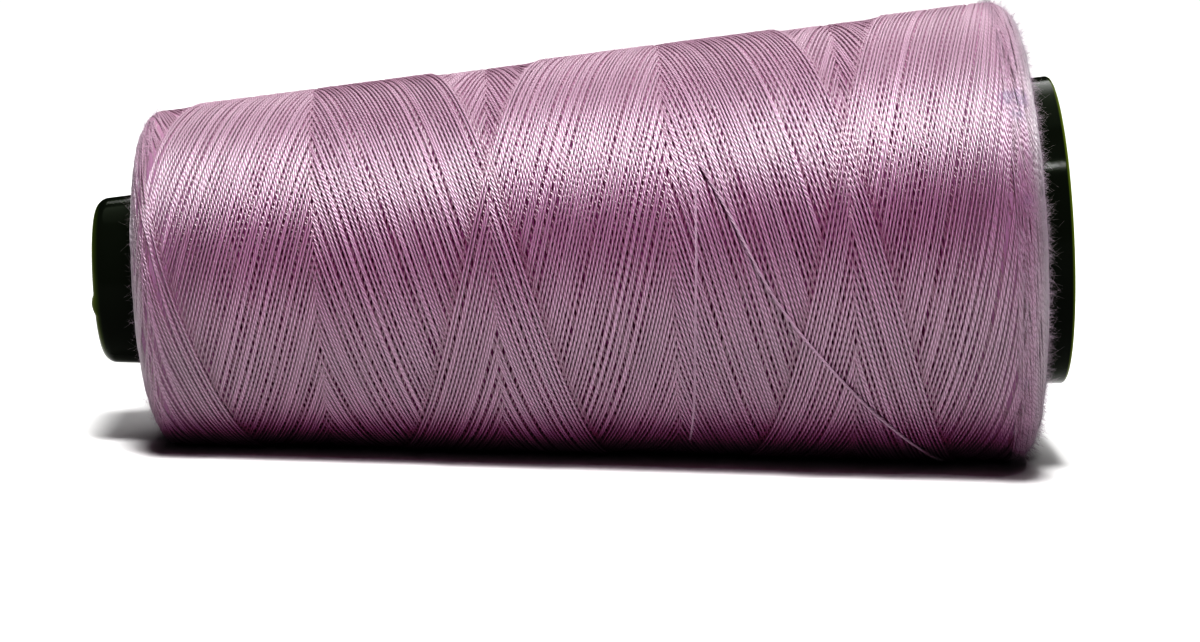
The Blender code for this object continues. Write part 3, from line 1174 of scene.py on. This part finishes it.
def tube_outline():
    nose = arc((NOSE_EASE, tube_radius(NOSE_EASE) - NOSE_EASE), NOSE_EASE, NOSE_EASE, -90, 0, 10)
    base = tube_radius(TUBE_LENGTH)
    outer_rim = arc((TUBE_LENGTH - BASE_EASE, base - BASE_EASE), BASE_EASE, BASE_EASE, 0, 90, 4)
    inner_rim = arc((TUBE_LENGTH - BASE_EASE, base - WALL + BASE_EASE), BASE_EASE, -BASE_EASE, 90, 0, 4)
    mouth = [(MOUTH_DEPTH, NOSE_RADIUS - WALL), (0, NOSE_RADIUS - WALL + MOUTH_EASE)]
    return nose + outer_rim + inner_rim + mouth


tube_data = turned(tube_outline(), TUBE_SIDES)
raise_burr(tube_data)
print("points in the tube's outline:", len(tube_outline()))

# %% Plastic
PLASTIC_COLOUR = "20261B"
# painted glow: the thin rims are coloured a lighter green, for light that gets through the plastic
RIM_GLOW_COLOUR = "6C7838"
SMOOTHEST = 0.09
ROUGHEST = 0.19
PLASTIC_IOR = 1.49
# far below the usual 0.5: the photograph's tube has a glint, and almost no other shine
PLASTIC_SPECULAR = 0.06
NOSE_GLOW = 0.55
NOSE_GLOW_REACH = 0.9 * MM
BASE_GLOW_REACH = 0.4 * MM
FULL_GLOW = 0.1 * MM
CLOUDS_PER_MM = 0.26
PORES_PER_MM = 3.0
PORE_DEPTH = 0.02 * MM


def painted_rim_glow(tree):
    """How much painted glow each point gets: most on the two rims, where light gets through the plastic."""
    along = from_nose(tree, AXIS)
    nose = add(tree, "ShaderNodeMapRange", {"Value": along, "From Min": 0.0, "From Max": NOSE_GLOW_REACH,
                                            "To Min": NOSE_GLOW, "To Max": 0.0})
    base = add(tree, "ShaderNodeMapRange", {"Value": along, "From Min": TUBE_LENGTH - BASE_GLOW_REACH,
                                            "From Max": TUBE_LENGTH - FULL_GLOW})
    return add(tree, "ShaderNodeMath", {0: nose.outputs[0], 1: base.outputs[0]},
               operation="MAXIMUM").outputs[0]


def moulded_plastic():
    """Moulded polypropylene: smooth, clouds of a duller surface, fine pores, a painted glow on the rims."""
    material, tree, shader = new_material("polypropylene_moulded_dark_green")
    coordinates = add(tree, "ShaderNodeTexCoord").outputs["Object"]
    tone = layered(tree, linear(PLASTIC_COLOUR), ((painted_rim_glow(tree), RIM_GLOW_COLOUR),))
    cloud = add(tree, "ShaderNodeTexNoise", {"Vector": coordinates, "Scale": CLOUDS_PER_MM / MM,
                                             "Detail": 3.0})
    rough = add(tree, "ShaderNodeMapRange", {"Value": cloud.outputs[0], "To Min": SMOOTHEST,
                                             "To Max": ROUGHEST})
    pores = add(tree, "ShaderNodeTexNoise", {"Vector": coordinates, "Scale": PORES_PER_MM / MM})
    bump = add(tree, "ShaderNodeBump", {"Height": pores.outputs[0], "Strength": 0.4,
                                        "Distance": PORE_DEPTH})
    fill(tree, shader, {"Base Color": tone, "Roughness": rough.outputs[0], "Normal": bump.outputs[0],
                        "IOR": PLASTIC_IOR, "Specular IOR Level": PLASTIC_SPECULAR})
    return material


tube = link_piece("moulded_tube", tube_data, moulded_plastic())
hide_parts("tube")

# %% [markdown]
# ## The loose strand
# One strand has slipped out of the winding. It comes out between the turns above the middle, lies
# slanting across them and goes back in underneath. It is short enough for all three plies to be
# real: each is a round curve that winds round the strand's middle line. The middle line is one smooth
# curve through listed points, lifted clear of the turns that it crosses.

# %% Loose strand
STRAND = 0.42 * MM
STRAND_STEPS = 420
STRAND_CLEAR = 0.1 * MM
STRAND_ROUTE = (
    # along the cone in mm, degrees round it above the front
    (71.8, 30),
    (73.1, 24),
    (74.4, 18),
    (75.6, 12),
    (76.8, 6),
    (78.0, 0),
    (79.4, -6),
    (81.0, -12),
    (82.9, -18),
    (84.9, -24),
    (86.9, -30),
    (88.9, -36),
    (90.9, -42),
    (92.9, -48),
    (94.8, -54),
    (96.6, -60),
    (98.2, -66),
    (99.4, -70),
)
# the strand bridges the edges of the bands: their relief is eased over this many steps each way
RELIEF_EASE = 10


def smooth_points(route, count):
    """Places read evenly from one Catmull-Rom curve through the route's points."""
    route = np.array(route, float)
    ends = np.vstack([2 * route[0] - route[1], route, 2 * route[-1] - route[-2]])
    place = np.linspace(0, len(route) - 1, count)
    span = np.minimum(place.astype(int), len(route) - 2)
    t = (place - span)[:, None]
    a, b, c, d = (ends[span + i] for i in range(4))
    bends = (2 * a - 5 * b + 4 * c - d) * t ** 2 + (3 * b - a - 3 * c + d) * t ** 3
    return 0.5 * (2 * b + (c - a) * t + bends)


def strand_line(route, count, clear, dip=0.0):
    """A strand's middle line in the cone's axes, this clear of the topmost turns; its ends dip in."""
    along, degrees = smooth_points(route, count).T
    along = along * MM
    angle = np.radians(degrees)
    lift = PROUD + STRAND / 2 + clear - dip * np.linspace(-1, 1, count) ** 16
    relief = np.pad(band_relief(along, angle / math.tau), RELIEF_EASE, "edge")
    eased = np.convolve(relief, np.full(2 * RELIEF_EASE + 1, 1 / (2 * RELIEF_EASE + 1)), "valid")
    radius = winding_radius(along) + eased + lift
    return np.stack([along, -radius * np.cos(angle), radius * np.sin(angle)], 1)


# %% Plies of a strand
PLY_SIZE = 0.21
PLY_OUT = 0.23


def plies(line):
    """The plies that twist round the strand's middle line, each a round tube."""
    ahead = np.gradient(line, axis=0)
    step = np.linalg.norm(ahead, axis=1, keepdims=True)
    ahead /= step
    out = line * (0, 1, 1)
    out -= ahead * np.sum(out * ahead, 1, keepdims=True)
    out /= np.linalg.norm(out, axis=1, keepdims=True)
    sideways = np.cross(ahead, out)
    walked = np.concatenate([[0], np.cumsum(step[1:, 0])])[:, None]
    curve = bpy.data.curves.new("plies", "CURVE")
    curve.dimensions = "3D"
    curve.bevel_depth = STRAND * PLY_SIZE
    curve.bevel_resolution = 2
    curve.use_fill_caps = True
    for number in range(PLIES):
        angle = math.tau * (number / PLIES - walked / TWIST)
        ply = line + (out * np.cos(angle) + sideways * np.sin(angle)) * STRAND * PLY_OUT
        spline = curve.splines.new("POLY")
        spline.points.add(len(ply) - 1)
        spline.points.foreach_set("co", np.hstack([ply, np.ones((len(ply), 1))]).astype(np.float32).ravel())
    holder = bpy.data.objects.new("holder", curve)
    data = bpy.data.meshes.new_from_object(holder)
    bpy.data.objects.remove(holder)
    data.shade_smooth()
    return data


# %% Plain thread
STRAND_DARK = "A4869B"
STRAND_LIGHT = "BCA0B2"
STRAND_GRAINS_PER_MM = 2.5
STRAND_IOR = 2.0


def plain_thread():
    """Viscose whose twist is in the mesh: a slightly uneven dye, a weaker shine than the wound turns'."""
    material, tree, shader = new_material("viscose_thread_loose")
    coordinates = add(tree, "ShaderNodeTexCoord").outputs["Object"]
    grain = add(tree, "ShaderNodeTexNoise", {"Vector": coordinates, "Scale": STRAND_GRAINS_PER_MM / MM})
    tone = layered(tree, linear(STRAND_DARK), ((grain.outputs[0], STRAND_LIGHT),))
    fill(tree, shader, {"Base Color": tone, "Roughness": THREAD_ROUGHNESS, "IOR": STRAND_IOR})
    return material


strand_path = strand_line(STRAND_ROUTE, STRAND_STEPS, STRAND_CLEAR)
strand_finish = plain_thread()
strand = link_piece("loose_strand", plies(strand_path), strand_finish)
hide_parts("loose_end")

# %% [markdown]
# ## A stray turn
# One turn was laid out of step: it runs almost square to the tube, over the others, and is as tight
# as they are. So it is part of the winding and not a cord. It is pressed a little way in between the
# turns, and both its ends dip under them.

# %% Stray turn
STRAY_STEPS = 320
STRAY_CLEAR = -0.12 * MM
STRAY_DIP = 0.6 * MM
STRAY_ROUTE = (
    # along the cone in mm, degrees round it above the front
    (71.5, 31),
    (71.2, 21),
    (71.0, 12),
    (70.85, 3.5),
    (70.6, -5.5),
    (70.4, -14.5),
    (70.2, -25),
    (70.05, -37),
    (69.75, -50),
    (69.4, -64),
)

stray_line = strand_line(STRAY_ROUTE, STRAY_STEPS, STRAY_CLEAR, STRAY_DIP)
stray = link_piece("stray_turn", plies(stray_line), strand_finish)

# %% [markdown]
# ## Floor and light
# The cone lies on a plain white surface. A lamp high in front gives the threads their crisp shine
# and the dark strip of shadow below them, and a small one beside it gives the tube its glint. A wide
# light high up behind the cone and a soft one lower down fill the top. The last lights the far
# floor, so that the backdrop is white. The floor itself throws light up into the lower half.

# %% Floor and lights
FLOOR_REACH = 4.0
FLOOR_COLOUR = "E6E6E5"
FLOOR_ROUGHNESS = 0.8
ROOM_COLOUR = "F4F6FA"
WORLD_STRENGTH = 0.02
LIGHTS = (
    # name, size in metres, watts, where it is, where it points
    ("lamp_front", 0.34, 30.5, (-0.02, -0.57, 1.345), (0, 0, 0.03)),
    ("lamp_small", 0.06, 3.2, (0.28, -0.79, 1.22), (0.05, 0, 0.03)),
    ("ceiling_behind", 1.9, 17, (0, 0.9, 1.8), (0, 0.9, 0)),
    ("soft_behind", 0.8, 4, (0, 1.23, 0.89), (0, 0, 0.03)),
    ("floor_behind", 1.2, 5, (0.3, 1.5, 0.9), (0.3, 1.5, 0)),
)


def make_floor(reach):
    """A board painted white, matt enough to show no lamp."""
    data = bpy.data.meshes.new("floor")
    corners = [(-reach, -reach, 0), (reach, -reach, 0), (reach, reach, 0), (-reach, reach, 0)]
    data.from_pydata(corners, [], [(0, 1, 2, 3)])
    material, tree, shader = new_material("painted_board_white")
    fill(tree, shader, {"Base Color": linear(FLOOR_COLOUR), "Roughness": FLOOR_ROUGHNESS})
    data.materials.append(material)
    floor = bpy.data.objects.new("floor", data)
    bpy.context.scene.collection.objects.link(floor)


def make_light(name, size, power, place, aim):
    """A round soft lamp that faces a point."""
    data = bpy.data.lights.new(name, "AREA")
    data.shape = "DISK"
    data.size = size
    data.energy = power
    light = bpy.data.objects.new(name, data)
    facing = (Vector(place) - Vector(aim)).to_track_quat("Z", "Y")
    light.matrix_world = Matrix.Translation(place) @ facing.to_matrix().to_4x4()
    bpy.context.scene.collection.objects.link(light)


def make_world(strength):
    world = bpy.data.worlds.new("room")
    world.use_nodes = True
    tree = world.node_tree
    fill(tree, tree.nodes["Background"], {"Color": linear(ROOM_COLOUR), "Strength": strength})
    bpy.context.scene.world = world


make_floor(FLOOR_REACH)
make_world(WORLD_STRENGTH)
for light in LIGHTS:
    make_light(*light)
print("lights:", len(LIGHTS))

# %% Tones of the picture
VIEW_GAMMA = 0.645
TONES = ((0.05, 0.03), (0.12, 0.115))


def set_view():
    """A firm contrast with deep shadows, as a small camera's own processing gives."""
    view = bpy.context.scene.view_settings
    view.view_transform = "Standard"
    view.gamma = VIEW_GAMMA
    view.use_curve_mapping = True
    curve = view.curve_mapping.curves[3]
    for place, value in TONES:
        curve.points.new(place, value)
    view.curve_mapping.update()


set_view()
